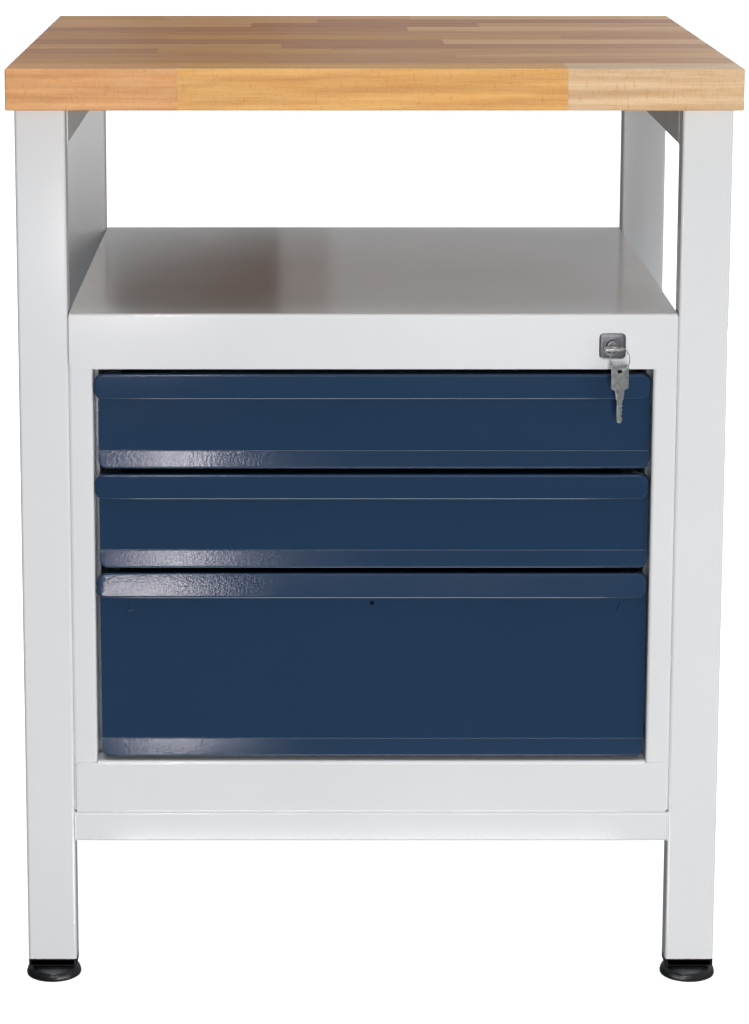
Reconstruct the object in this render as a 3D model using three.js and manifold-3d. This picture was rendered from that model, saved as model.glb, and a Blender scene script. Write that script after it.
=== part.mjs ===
// Workbench with a beech top, a welded steel frame, an open shelf and a cabinet with three drawers.
// Millimetres, +Z up. The origin is on the floor under the middle of the worktop, and the front faces -Y.

import * as THREE from 'three';
import { mergeVertices } from 'three/addons/utils/BufferGeometryUtils.js';
import Module from 'manifold-3d';

const wasm = await Module();
wasm.setup();

// ---------------------------------------------------------------- driving dimensions

const GAP = 0.3; // clearance between pieces that touch
const SHEET = 1.2; // folded steel sheet

const WORKTOP = { width: 700, depth: 650, thickness: 40, surface: 920, edge: 1.5 };
const FRAME = { width: 689, depth: 590 };
const LEG = { width: 48.5, depth: 30, wall: 2, radius: 3, bottom: 20 };
const TOP_RAIL_HEIGHT = 40;
const BASE_RAIL = { height: 30, bottom: 144.5, wall: 2 };

const FOOT = { radius: 27.5, height: 13, studRadius: 4, studTop: 42 };
const INSERT = { collar: 6.5, plug: 24, boreRadius: 4.7 };

const CABINET = { width: 590, back: 286, shelf: 678.4, sheet: 1.4 };
const TOP_FASCIA_HEIGHT = 53;
const LOWER_FASCIA_HEIGHT = 51.8;
const LOWER_FASCIA_WIDTH = 587;
const FASCIA_RADIUS = 5;
const JAMB = { opening: 273.8, depth: 24 };
const SILL_DEPTH = 28;

const FRONT = { width: 539, top: 620, pitch: 100.2, recess: 10, lip: 22, strip: 16, radius: 8 };
const LIP_SHIFT = -1.2; // the grip lip sits a little left of the front it belongs to
const FACE_SHIFT = 1.2;
const FRONT_PLANE_SETBACK = 0.5;
const DRAWERS = [
  { name: '1', frontHeight: 94.5, trayHeight: 69, slideRise: 39 },
  { name: '2', frontHeight: 94.5, trayHeight: 69, slideRise: 39 },
  { name: '3', frontHeight: 187.2, trayHeight: 160, slideRise: 84 },
];
const TRAY = { width: 510, frontGap: 3.5, length: 486, lift: 3.5 };
const LABEL_HOLE = { radius: 2, drop: 32 };

const SLIDE = { length: 480, start: -262, thickness: 13, sheet: 1.4 };
const OUTER_SLIDE_HEIGHT = 45;
const MIDDLE_SLIDE_HEIGHT = 38;
const INNER_SLIDE_HEIGHT = 32;
const POST = { width: 30, bottom: 182, top: 622, frontY: -262, rearY: 188 };

const LOCK = { x: 232.2, z: 648, plate: 25.6, plateDepth: 3.7, barrelRadius: 9, coreRadius: 6 };
const CAM = { pinReach: 10, pinRadius: 2.5, sheet: 2 };
const LOCK_BAR = { inner: 269, outer: 288, front: -266.5, thickness: 3, armLeft: 214, foot: 262 };
const CATCH = { height: 10, reach: 9, below: 24, lift: 14.2, play: 5, fingerStart: 6.2 };
const KEY = { thickness: 2, bowWidth: 18, bladeWidth: 5.6, neckTop: 9.6, neckBottom: 7.4 };
const RING = { radius: 11, wire: 0.6, tiltDeg: 50 };

// ---------------------------------------------------------------- derived levels

const UNDER_TOP = WORKTOP.surface - WORKTOP.thickness;
const FRONT_PLANE = -FRAME.depth / 2;
const LEG_INNER = FRAME.width / 2 - LEG.width;
const OPENING_TOP = CABINET.shelf - TOP_FASCIA_HEIGHT;
const CABINET_BOTTOM = BASE_RAIL.bottom + BASE_RAIL.height + 0.5;
const OPENING_BOTTOM = CABINET_BOTTOM + LOWER_FASCIA_HEIGHT;
const SIDE_BOTTOM = CABINET_BOTTOM + CABINET.sheet + 0.5;
const SIDE_TOP = CABINET.shelf - CABINET.sheet - 0.5;
const LIP_PLANE = FRONT_PLANE + FRONT_PLANE_SETBACK;
const FACE_PLANE = LIP_PLANE + FRONT.recess;
const TRAY_FRONT = FACE_PLANE + 12.8;

// ---------------------------------------------------------------- materials

function finish(colour, roughness, metalness) {
  return new THREE.MeshStandardMaterial({ color: colour, roughness, metalness });
}

const beech = finish(0xd8ab78, 0.45, 0);
const greyPaint = finish(0xdcdde0, 0.4, 0.1);
const bluePaint = finish(0x263a54, 0.3, 0.1);
const zincSteel = finish(0xb4b8bb, 0.35, 0.9);
const lockMetal = finish(0x8d8b8c, 0.35, 0.9);
const keyMetal = finish(0xa3a4a6, 0.3, 0.9);
const blackPlastic = finish(0x121214, 0.35, 0);

// ---------------------------------------------------------------- solid helpers

function toSolid(geometry) {
  const bare = geometry.clone();
  bare.deleteAttribute('normal');
  bare.deleteAttribute('uv');
  const merged = mergeVertices(bare, 1e-4);
  const mesh = new wasm.Mesh({
    numProp: 3,
    vertProperties: new Float32Array(merged.attributes.position.array),
    triVerts: new Uint32Array(merged.index.array),
  });
  return new wasm.Manifold(mesh);
}

function toGeometry(solid) {
  const mesh = solid.getMesh();
  const geometry = new THREE.BufferGeometry();
  geometry.setAttribute('position', new THREE.BufferAttribute(new Float32Array(mesh.vertProperties), 3));
  geometry.setIndex(new THREE.BufferAttribute(new Uint32Array(mesh.triVerts), 1));
  geometry.computeVertexNormals();
  return geometry;
}

function join(...geometries) {
  const solids = geometries.map(toSolid);
  return toGeometry(solids.slice(1).reduce((whole, piece) => whole.add(piece), solids[0]));
}

function cut(geometry, ...tools) {
  return toGeometry(tools.reduce((whole, tool) => whole.subtract(toSolid(tool)), toSolid(geometry)));
}

function keepInside(geometry, limit) {
  return toGeometry(toSolid(geometry).intersect(toSolid(limit)));
}

// A box from its lowest to its highest corner.
function block(x0, y0, z0, x1, y1, z1) {
  const box = new THREE.BoxGeometry(x1 - x0, y1 - y0, z1 - z0);
  return box.translate((x0 + x1) / 2, (y0 + y1) / 2, (z0 + z1) / 2);
}

// An outline in X and Y, raised from z0 to z1.
function raised(shape, z0, z1, segments = 3) {
  const prism = new THREE.ExtrudeGeometry(shape, {
    depth: z1 - z0,
    bevelEnabled: false,
    curveSegments: segments,
  });
  return prism.translate(0, 0, z0);
}

// An outline in X and Z, given depth from y0 to y1.
function deepened(shape, y0, y1, segments = 3) {
  return raised(shape, 0, y1 - y0, segments).rotateX(Math.PI / 2).translate(0, y1, 0);
}

// An outline in Y and Z, stretched from x0 to x1.
function stretched(shape, x0, x1, segments = 3) {
  const prism = raised(shape, 0, x1 - x0, segments);
  const turn = new THREE.Matrix4().makeBasis(
    new THREE.Vector3(0, 1, 0),
    new THREE.Vector3(0, 0, 1),
    new THREE.Vector3(1, 0, 0),
  );
  return prism.applyMatrix4(turn).translate(x0, 0, 0);
}

function outline(points) {
  return new THREE.Shape(points.map(([a, b]) => new THREE.Vector2(a, b)));
}

// A rectangle with its own radius at the lower and at the upper corners.
function roundedRectangle(a0, b0, a1, b1, lower, upper = lower) {
  const shape = new THREE.Shape();
  shape.moveTo(a0 + lower, b0);
  shape.lineTo(a1 - lower, b0);
  if (lower) shape.absarc(a1 - lower, b0 + lower, lower, -Math.PI / 2, 0);
  shape.lineTo(a1, b1 - upper);
  if (upper) shape.absarc(a1 - upper, b1 - upper, upper, 0, Math.PI / 2);
  shape.lineTo(a0 + upper, b1);
  if (upper) shape.absarc(a0 + upper, b1 - upper, upper, Math.PI / 2, Math.PI);
  shape.lineTo(a0, b0 + lower);
  if (lower) shape.absarc(a0 + lower, b0 + lower, lower, Math.PI, Math.PI * 1.5);
  return shape;
}

// The section of a rectangular tube.
function tubeSection(a0, b0, a1, b1, wall, radius) {
  const section = roundedRectangle(a0, b0, a1, b1, radius);
  const inner = Math.max(radius - wall, 0.5);
  section.holes.push(roundedRectangle(a0 + wall, b0 + wall, a1 - wall, b1 - wall, inner));
  return section;
}

// A round bar along Y.
function barAlongY(radius, x, z, y0, y1, sides = 24) {
  const bar = new THREE.CylinderGeometry(radius, radius, y1 - y0, sides);
  return bar.translate(x, (y0 + y1) / 2, z);
}

const bench = new THREE.Group();
bench.name = 'workbench';

function place(name, geometry, material) {
  const mesh = new THREE.Mesh(geometry, material);
  mesh.name = name;
  bench.add(mesh);
  return mesh;
}

// ---------------------------------------------------------------- worktop

function makeWorktop() {
  const halfWidth = WORKTOP.width / 2 - WORKTOP.edge;
  const halfDepth = WORKTOP.depth / 2 - WORKTOP.edge;
  const slab = new THREE.ExtrudeGeometry(roundedRectangle(-halfWidth, -halfDepth, halfWidth, halfDepth, 0.5), {
    depth: WORKTOP.thickness - 2 * WORKTOP.edge,
    bevelThickness: WORKTOP.edge,
    bevelSize: WORKTOP.edge,
    bevelSegments: 2,
    curveSegments: 2,
  });
  place('worktop', slab.translate(0, 0, UNDER_TOP + WORKTOP.edge), beech);
}

// ---------------------------------------------------------------- frame

function makeLegs() {
  for (const [side, sx] of [['left', -1], ['right', 1]]) {
    for (const [end, sy] of [['front', -1], ['rear', 1]]) {
      const x = sx * (FRAME.width - LEG.width) / 2;
      const y = sy * (FRAME.depth - LEG.depth) / 2;
      const section = tubeSection(
        -LEG.width / 2, -LEG.depth / 2, LEG.width / 2, LEG.depth / 2, LEG.wall, LEG.radius,
      );
      const leg = place(`leg_${end}_${side}`, raised(section, LEG.bottom, UNDER_TOP - GAP), greyPaint);
      leg.position.set(x, y, 0);
      makeFoot(`${end}_${side}`, x, y);
    }
  }
}

// The plastic insert closes the tube, and the levelling foot screws into it.
function makeFoot(name, x, y) {
  const collarTop = LEG.bottom - GAP;
  const halfWidth = LEG.width / 2;
  const halfDepth = LEG.depth / 2;
  const slack = LEG.wall + 0.5;
  const collar = roundedRectangle(-halfWidth, -halfDepth, halfWidth, halfDepth, LEG.radius);
  const plug = roundedRectangle(-halfWidth + slack, -halfDepth + slack, halfWidth - slack, halfDepth - slack, 1);
  const bore = new THREE.CylinderGeometry(INSERT.boreRadius, INSERT.boreRadius, 80, 20).rotateX(Math.PI / 2);
  const insert = cut(
    join(raised(collar, collarTop - INSERT.collar, collarTop), raised(plug, collarTop - 1, collarTop + INSERT.plug)),
    bore.translate(0, 0, LEG.bottom),
  );
  place(`foot_insert_${name}`, insert, blackPlastic).position.set(x, y, 0);

  const profile = [
    [0, 0],
    [FOOT.radius - 2.5, 0],
    [FOOT.radius - 0.6, 1.2],
    [FOOT.radius, 3.2],
    [FOOT.radius - 0.8, 6.4],
    [FOOT.radius - 2.4, 9.6],
    [FOOT.radius - 5.5, FOOT.height - 0.8],
    [FOOT.radius - 9, FOOT.height - 0.2],
    [FOOT.studRadius, FOOT.height - 0.2],
    [FOOT.studRadius, FOOT.studTop],
    [0, FOOT.studTop],
  ].map(([r, z]) => new THREE.Vector2(r, z));
  const foot = new THREE.LatheGeometry(profile, 28).rotateX(Math.PI / 2);
  place(`levelling_foot_${name}`, foot, blackPlastic).position.set(x, y, 0);
}

function makeRails() {
  const baseTop = BASE_RAIL.bottom + BASE_RAIL.height;
  const railFront = FRAME.depth / 2 - LEG.depth - GAP;
  const railSide = LEG_INNER - GAP;
  const topRailBottom = UNDER_TOP - TOP_RAIL_HEIGHT;
  const outer = FRAME.width / 2;

  for (const [side, sx] of [['left', -1], ['right', 1]]) {
    const x0 = sx < 0 ? -outer : LEG_INNER;
    const x1 = sx < 0 ? -LEG_INNER : outer;
    const top = tubeSection(x0, topRailBottom, x1, UNDER_TOP - GAP, LEG.wall, LEG.radius);
    place(`top_rail_${side}`, deepened(top, -railFront, railFront), greyPaint);
    const base = tubeSection(x0, BASE_RAIL.bottom, x1, baseTop, BASE_RAIL.wall, LEG.radius);
    place(`base_rail_${side}`, deepened(base, -railFront, railFront), greyPaint);
  }

  for (const [end, y0] of [['front', FRONT_PLANE], ['rear', -FRONT_PLANE - LEG.depth]]) {
    const base = tubeSection(y0, BASE_RAIL.bottom, y0 + LEG.depth, baseTop, BASE_RAIL.wall, LEG.radius);
    place(`base_rail_${end}`, stretched(base, -railSide, railSide), greyPaint);
  }
  const rearY = -FRONT_PLANE - LEG.depth;
  const rearTop = tubeSection(rearY, topRailBottom, rearY + LEG.depth, UNDER_TOP - GAP, LEG.wall, LEG.radius);
  place('top_rail_rear', stretched(rearTop, -railSide, railSide), greyPaint);
}

// ---------------------------------------------------------------- cabinet

function makeCabinetTop() {
  const half = CABINET.width / 2;
  const t = CABINET.sheet;
  const returnHalf = JAMB.opening - 1.5;
  const fascia = roundedRectangle(-half, OPENING_TOP, half, CABINET.shelf, FASCIA_RADIUS, 0);
  const cover = join(
    block(-half, FRONT_PLANE, CABINET.shelf - t, half, CABINET.back, CABINET.shelf),
    deepened(fascia, FRONT_PLANE, FRONT_PLANE + t),
    block(-returnHalf, FRONT_PLANE + t / 2, OPENING_TOP, returnHalf, FRONT_PLANE + 13, OPENING_TOP + t),
    block(-half, CABINET.back - t, CABINET.shelf - 28, half, CABINET.back, CABINET.shelf),
  );
  const lockHole = barAlongY(LOCK.barrelRadius + 0.5, LOCK.x, LOCK.z, FRONT_PLANE - 5, FRONT_PLANE + 5);
  place('cabinet_top', cut(cover, lockHole), greyPaint);
}

function makeCabinetBottom() {
  const half = CABINET.width / 2;
  const fasciaHalf = LOWER_FASCIA_WIDTH / 2;
  const t = CABINET.sheet;
  const sillHalf = JAMB.opening - 1.5;
  const sillBack = FRONT_PLANE + SILL_DEPTH;
  const fascia = roundedRectangle(-fasciaHalf, CABINET_BOTTOM, fasciaHalf, OPENING_BOTTOM, 0, FASCIA_RADIUS);
  const tray = join(
    block(-half, FRONT_PLANE + t, CABINET_BOTTOM, half, CABINET.back - t - 1, CABINET_BOTTOM + t),
    block(-fasciaHalf, FRONT_PLANE, CABINET_BOTTOM, fasciaHalf, FRONT_PLANE + 2 * t, CABINET_BOTTOM + t),
    deepened(fascia, FRONT_PLANE, FRONT_PLANE + t),
    block(-sillHalf, FRONT_PLANE + t / 2, OPENING_BOTTOM - t, sillHalf, sillBack, OPENING_BOTTOM),
    block(-sillHalf, sillBack - t, OPENING_BOTTOM - 12, sillHalf, sillBack, OPENING_BOTTOM),
  );
  place('cabinet_bottom', tray, greyPaint);
}

// The side is one sheet: the wall, the border beside the drawers, and the jamb that turns inwards.
function makeCabinetSides() {
  const outer = CABINET.width / 2;
  const borderFront = FRONT_PLANE + CABINET.sheet + GAP;
  const jambBack = borderFront + JAMB.depth;
  const rear = CABINET.back - CABINET.sheet - 3;
  const section = [
    [outer, borderFront],
    [outer, rear],
    [outer - SHEET, rear],
    [outer - SHEET, borderFront + SHEET],
    [JAMB.opening + SHEET, borderFront + SHEET],
    [JAMB.opening + SHEET, jambBack],
    [JAMB.opening, jambBack],
    [JAMB.opening, borderFront],
  ];
  const mirrored = section.map(([x, y]) => [-x, y]).reverse();
  place('cabinet_side_right', raised(outline(section), SIDE_BOTTOM, SIDE_TOP), greyPaint);
  place('cabinet_side_left', raised(outline(mirrored), SIDE_BOTTOM, SIDE_TOP), greyPaint);
}

function makeCabinetBack() {
  const half = CABINET.width / 2 - SHEET - 0.6;
  const rear = CABINET.back - CABINET.sheet - 0.6;
  place('cabinet_back', block(-half, rear - SHEET, SIDE_BOTTOM, half, rear, SIDE_TOP), greyPaint);
}

// Channel posts inside the cabinet carry the slides.
function makePosts() {
  const inner = TRAY.width / 2 + SLIDE.thickness + 2 * GAP;
  const outer = CABINET.width / 2 - SHEET - GAP;
  for (const [end, y] of [['front', POST.frontY], ['rear', POST.rearY]]) {
    const section = [
      [inner, y],
      [outer, y],
      [outer, y + SHEET],
      [inner + SHEET, y + SHEET],
      [inner + SHEET, y + POST.width - SHEET],
      [outer, y + POST.width - SHEET],
      [outer, y + POST.width],
      [inner, y + POST.width],
    ];
    const mirrored = section.map(([a, b]) => [-a, b]).reverse();
    place(`slide_post_${end}_right`, raised(outline(section), POST.bottom, POST.top), zincSteel);
    place(`slide_post_${end}_left`, raised(outline(mirrored), POST.bottom, POST.top), zincSteel);
  }
}

// ---------------------------------------------------------------- drawers

function frontTop(index) {
  return FRONT.top - index * FRONT.pitch;
}

function trayBottom(index) {
  return frontTop(index) - DRAWERS[index].frontHeight + TRAY.lift;
}

function slideLevel(index) {
  return trayBottom(index) + DRAWERS[index].slideRise;
}

// The front is one folded sheet: a grip lip turned down over the recessed face, and a strip that
// leans forward along the lower edge.
function makeDrawerFront(index) {
  const { name, frontHeight } = DRAWERS[index];
  const t = SHEET;
  const half = FRONT.width / 2;
  const top = frontTop(index);
  const bottom = top - frontHeight;
  const fold = bottom + FRONT.strip;
  const lipShape = roundedRectangle(LIP_SHIFT - half, top - FRONT.lip, LIP_SHIFT + half, top, FRONT.radius);
  const lip = deepened(lipShape, LIP_PLANE, LIP_PLANE + t, 4);
  const narrow = half - FRONT.radius;
  const cap = block(LIP_SHIFT - narrow, LIP_PLANE + t / 2, top - t, LIP_SHIFT + narrow, FACE_PLANE + t, top);
  const faceSheet = block(FACE_SHIFT - half, FACE_PLANE, fold, FACE_SHIFT + half, FACE_PLANE + t, top - 4);
  const faceTop = block(LIP_SHIFT - narrow, FACE_PLANE, top - 5, LIP_SHIFT + narrow, FACE_PLANE + t, top - t / 2);
  const lean = outline([
    [FACE_PLANE, fold + 0.1],
    [LIP_PLANE, bottom],
    [LIP_PLANE + t, bottom],
    [FACE_PLANE + t, fold + 0.1],
  ]);
  const stripLimit = roundedRectangle(
    FACE_SHIFT - half, bottom, FACE_SHIFT + half, fold + 1, FRONT.radius, 0,
  );
  const strip = keepInside(
    stretched(lean, FACE_SHIFT - half, FACE_SHIFT + half),
    deepened(stripLimit, LIP_PLANE - 1, FACE_PLANE + 3, 4),
  );
  const foot = block(
    FACE_SHIFT - narrow, LIP_PLANE + t / 2, bottom, FACE_SHIFT + narrow, TRAY_FRONT - 0.6, bottom + t,
  );
  let front = join(faceSheet, faceTop, cap, lip, strip, foot);
  if (index === 2) {
    front = cut(front, barAlongY(LABEL_HOLE.radius, 0, top - LABEL_HOLE.drop, FACE_PLANE - 5, FACE_PLANE + 5, 16));
  }
  place(`drawer_front_${name}`, front, bluePaint);
}

// An open tray with a catch on its right side for the lock bar.
function makeDrawerTray(index) {
  const { name, trayHeight } = DRAWERS[index];
  const half = TRAY.width / 2;
  const bottom = trayBottom(index);
  const back = TRAY_FRONT + TRAY.length;
  const shell = cut(
    block(-half, TRAY_FRONT, bottom, half, back, bottom + trayHeight),
    block(-half + SHEET, TRAY_FRONT + SHEET, bottom + SHEET, half - SHEET, back - SHEET, bottom + 400),
  );
  const catchTop = slideLevel(index) - CATCH.below;
  const catchFront = LOCK_BAR.front + LOCK_BAR.thickness + CATCH.play;
  const lockCatch = block(
    half - 0.6, catchFront, catchTop - CATCH.height, half + CATCH.reach, catchFront + 2, catchTop,
  );
  place(`drawer_tray_${name}`, join(shell, lockCatch), bluePaint);
}

// A channel section lying against the plane x = web, its lips reaching towards x = lips.
function channel(web, lips, height, level) {
  const t = SLIDE.sheet * Math.sign(lips - web);
  const h = height / 2;
  const lip = SLIDE.sheet;
  return [
    [web, level - h],
    [lips, level - h],
    [lips, level - h + lip],
    [web + t, level - h + lip],
    [web + t, level + h - lip],
    [lips, level + h - lip],
    [lips, level + h],
    [web, level + h],
  ];
}

function counterClockwise(points) {
  return THREE.ShapeUtils.area(points.map(([a, b]) => new THREE.Vector2(a, b))) < 0
    ? points.slice().reverse()
    : points;
}

// Each slide is three nested channels: one on the posts, one that floats, one on the drawer.
function makeSlides(index) {
  const { name } = DRAWERS[index];
  const level = slideLevel(index);
  const inside = TRAY.width / 2 + GAP;
  const outside = inside + SLIDE.thickness;
  const end = SLIDE.start + SLIDE.length;
  const members = [
    ['slide_outer', channel(outside, inside + 3, OUTER_SLIDE_HEIGHT, level)],
    ['slide_middle', channel(outside - 4.3, inside + 2.3, MIDDLE_SLIDE_HEIGHT, level)],
    ['slide_inner', channel(inside, outside - 6.5, INNER_SLIDE_HEIGHT, level)],
  ];
  for (const [side, sx] of [['left', -1], ['right', 1]]) {
    for (const [member, points] of members) {
      const section = outline(counterClockwise(points.map(([x, z]) => [sx * x, z])));
      place(`${member}_${name}_${side}`, deepened(section, SLIDE.start, end), zincSteel);
    }
  }
}

// ---------------------------------------------------------------- lock and keys

// The plate on the fascia and the fixed barrel behind it.
function makeLockHousing() {
  const half = LOCK.plate / 2 - 0.8;
  const bow = 0.8;
  const shape = new THREE.Shape();
  shape.moveTo(-half, -half);
  shape.quadraticCurveTo(0, -half - bow, half, -half);
  shape.quadraticCurveTo(half + bow, 0, half, half);
  shape.quadraticCurveTo(0, half + bow, -half, half);
  shape.quadraticCurveTo(-half - bow, 0, -half, -half);
  const plate = new THREE.ExtrudeGeometry(shape, {
    depth: LOCK.plateDepth - 1,
    bevelThickness: 1,
    bevelSize: 0.6,
    bevelSegments: 1,
    curveSegments: 4,
  });
  plate.rotateX(Math.PI / 2).translate(LOCK.x, FRONT_PLANE - GAP - 1, LOCK.z);
  const square = keepInside(plate, block(0, FRONT_PLANE - 20, 0, 400, FRONT_PLANE - GAP, 900));
  const barrel = barAlongY(LOCK.barrelRadius, LOCK.x, LOCK.z, FRONT_PLANE - 2, FRONT_PLANE + 23);
  const bore = barAlongY(LOCK.coreRadius + 0.4, LOCK.x, LOCK.z, FRONT_PLANE - 20, FRONT_PLANE + 40);
  place('lock_housing', cut(join(square, barrel), bore), lockMetal);
}

function makeLockCore() {
  const front = FRONT_PLANE - LOCK.plateDepth - 2.2;
  const core = barAlongY(LOCK.coreRadius, LOCK.x, LOCK.z, front, FRONT_PLANE + 24.6);
  const half = KEY.bladeWidth / 2 + 0.5;
  const slot = KEY.thickness / 2 + 0.4;
  const keyway = block(LOCK.x - half, front - 1, LOCK.z - slot, LOCK.x + half, FRONT_PLANE + 19, LOCK.z + slot);
  place('lock_core', cut(core, keyway), lockMetal);
}

// The cam is a lever on the back of the core, and its pin lifts the lock bar.
function makeLockCam() {
  const front = FRONT_PLANE + 24.9;
  const back = front + CAM.sheet;
  const angle = -Math.PI * 0.75;
  const pinX = LOCK.x + CAM.pinReach * Math.cos(angle);
  const pinZ = LOCK.z + CAM.pinReach * Math.sin(angle);
  const hub = barAlongY(7, LOCK.x, LOCK.z, front, back);
  const end = barAlongY(4, pinX, pinZ, front, back, 16);
  const arm = block(0, front, -4, CAM.pinReach, back, 4).rotateY(-angle).translate(LOCK.x, 0, LOCK.z);
  const pin = barAlongY(CAM.pinRadius, pinX, pinZ, back - 0.5, LOCK_BAR.front + LOCK_BAR.thickness + 0.5, 16);
  place('lock_cam', join(hub, end, arm, pin), zincSteel);
}

// A flat bar behind the right jamb, with an arm to the cam and a finger under each drawer's catch.
function makeLockBar() {
  const front = LOCK_BAR.front;
  const back = front + LOCK_BAR.thickness;
  const pieces = [
    block(LOCK_BAR.inner, front, LOCK_BAR.foot, LOCK_BAR.outer, back, LOCK.z + 8),
    block(LOCK_BAR.armLeft, front, LOCK.z - 17, LOCK_BAR.outer, back, LOCK.z + 8),
  ];
  for (let index = 0; index < DRAWERS.length; index += 1) {
    const fingerTop = slideLevel(index) - CATCH.below - CATCH.lift;
    pieces.push(block(
      TRAY.width / 2 + CATCH.fingerStart, front, fingerTop - CATCH.height,
      LOCK_BAR.inner + 1, back, fingerTop,
    ));
  }
  const pinLevel = LOCK.z - CAM.pinReach * Math.SQRT1_2;
  const slot = block(LOCK.x - 13.4, front - 2, pinLevel - 3.2, LOCK.x - 3.6, back + 2, pinLevel + 3.2);
  place('lock_bar', cut(join(...pieces), slot), zincSteel);
}

// A flat key in the X and Y plane: the bow starts at y = 0 and the blade points along +Y.
function keyOutline(bowLength, neckLength, bladeLength, holeRadius) {
  const bow = KEY.bowWidth / 2;
  const neck = KEY.neckTop / 2;
  const neckEnd = KEY.neckBottom / 2;
  const blade = KEY.bladeWidth / 2;
  const bladeStart = bowLength + neckLength;
  const tip = bladeStart + bladeLength;
  const points = [
    [-bow + 1, 0],
    [bow - 1, 0],
    [bow, 1],
    [bow, bowLength - 2],
    [bow - 2, bowLength],
    [neck, bowLength],
    [neckEnd, bladeStart],
    [blade, bladeStart],
  ];
  const cuts = Math.floor((bladeLength - 4) / 4);
  for (let i = 0; i < cuts; i += 1) {
    const y = bladeStart + 2 + i * 4;
    points.push([blade, y]);
    points.push([blade - 0.7 - 0.4 * (i % 2), y + 1.4]);
    points.push([blade, y + 3]);
  }
  points.push([blade, tip - 2]);
  points.push([0.6, tip]);
  points.push([-0.6, tip]);
  points.push([-blade, tip - 2]);
  points.push([-blade, bladeStart]);
  points.push([-neckEnd, bladeStart]);
  points.push([-neck, bowLength]);
  points.push([-bow + 2, bowLength]);
  points.push([-bow, bowLength - 2]);
  points.push([-bow, 1]);
  const shape = outline(points);
  const hole = new THREE.Path();
  hole.absarc(0, 6, holeRadius, 0, Math.PI * 2);
  shape.holes.push(hole);
  return shape;
}

function makeKeys() {
  const half = KEY.thickness / 2;
  const bowStart = FRONT_PLANE - 23;
  const holeY = bowStart + 6;

  // The key in the lock lies flat, bow outwards.
  const fitted = raised(keyOutline(15, 2, 21, 3), -half, half, 8);
  place('key', fitted, keyMetal).position.set(LOCK.x, bowStart, LOCK.z);

  // The ring passes slantwise through the bow's hole.
  const tilt = THREE.MathUtils.degToRad(RING.tiltDeg);
  const along = new THREE.Vector3(0.8, -0.6, 0);
  const centre = new THREE.Vector3(LOCK.x, holeY, LOCK.z)
    .addScaledVector(along, RING.radius * Math.cos(tilt))
    .add(new THREE.Vector3(0, 0, -RING.radius * Math.sin(tilt)));
  const ring = new THREE.TorusGeometry(RING.radius, RING.wire, 6, 30);
  ring.rotateX(Math.PI / 2).rotateZ(Math.atan2(along.y, along.x));
  place('key_ring', ring, keyMetal).position.copy(centre);

  // The spare key hangs from the ring with its blade down.
  const spare = raised(keyOutline(24.3, 10.5, 22.5, 2.7), -half, half, 8);
  spare.translate(0, -6, 0).rotateX(-Math.PI / 2).rotateZ(THREE.MathUtils.degToRad(18));
  place('spare_key', spare, keyMetal).position.set(centre.x, centre.y, centre.z - RING.radius - 1.2);
}

// ---------------------------------------------------------------- assembly

makeWorktop();
makeLegs();
makeRails();
makeCabinetTop();
makeCabinetBottom();
makeCabinetSides();
makeCabinetBack();
makePosts();
for (let index = 0; index < DRAWERS.length; index += 1) {
  makeDrawerFront(index);
  makeDrawerTray(index);
  makeSlides(index);
}
makeLockHousing();
makeLockCore();
makeLockCam();
makeLockBar();
makeKeys();

export default bench;
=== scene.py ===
import itertools
import math
import random

import bmesh
import bpy
from mathutils import Matrix, Vector


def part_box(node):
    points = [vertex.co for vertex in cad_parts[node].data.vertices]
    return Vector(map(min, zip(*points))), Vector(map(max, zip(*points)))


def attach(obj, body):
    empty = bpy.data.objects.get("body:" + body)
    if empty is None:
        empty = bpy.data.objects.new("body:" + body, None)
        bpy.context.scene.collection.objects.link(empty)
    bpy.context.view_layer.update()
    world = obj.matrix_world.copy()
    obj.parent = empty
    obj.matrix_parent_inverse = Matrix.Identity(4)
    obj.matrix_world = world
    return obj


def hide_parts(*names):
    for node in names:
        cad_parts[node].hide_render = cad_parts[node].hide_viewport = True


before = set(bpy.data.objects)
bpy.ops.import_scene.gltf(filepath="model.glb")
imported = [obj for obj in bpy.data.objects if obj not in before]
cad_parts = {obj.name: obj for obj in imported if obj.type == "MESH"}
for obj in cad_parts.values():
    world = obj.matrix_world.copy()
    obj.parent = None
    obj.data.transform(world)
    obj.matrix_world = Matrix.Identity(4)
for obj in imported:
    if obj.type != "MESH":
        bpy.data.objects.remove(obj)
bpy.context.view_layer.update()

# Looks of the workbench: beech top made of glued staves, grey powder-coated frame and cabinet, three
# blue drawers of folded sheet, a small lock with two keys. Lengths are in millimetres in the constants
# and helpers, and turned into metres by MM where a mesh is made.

MM = 0.001
SCENE = bpy.context.scene
DICE = random.Random(41)

# ---------------------------------------------------------------- sizes, in millimetres

SHEET = 1.2
CABINET_SHEET = 1.4
BEND = 2.2  # outer radius of a folded edge
BEND_STEPS = 5  # arc segments in a folded edge
TUBE_WALL = 2.0
TUBE_RADIUS = 3.0
WELD_RADIUS = 1.0

STAVE_ROWS = 12
FRONT_ROW_JOINTS = (-187.0, 183.0)
SHORTEST_STAVE, LONGEST_STAVE = 150.0, 420.0
TOP_EDGE = 1.5
GLUE_GROOVE = 0.1  # a joint's groove as a share of TOP_EDGE

FRAME_FRONT = -295.0  # the plane of the legs' and the cabinet's front
FASCIA_CORNER = 5.0
LOWER_FASCIA_HALF = 293.5
SHELF_REAR_EDGE = 28.0
SILL_DEPTH, SILL_HEM = 28.0, 12.0
JAMB_DEPTH = 24.0
RETURN_HALF = 272.3  # how far the folded returns reach beside the drawer opening
RETURN_DEPTH = 12.0

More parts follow.
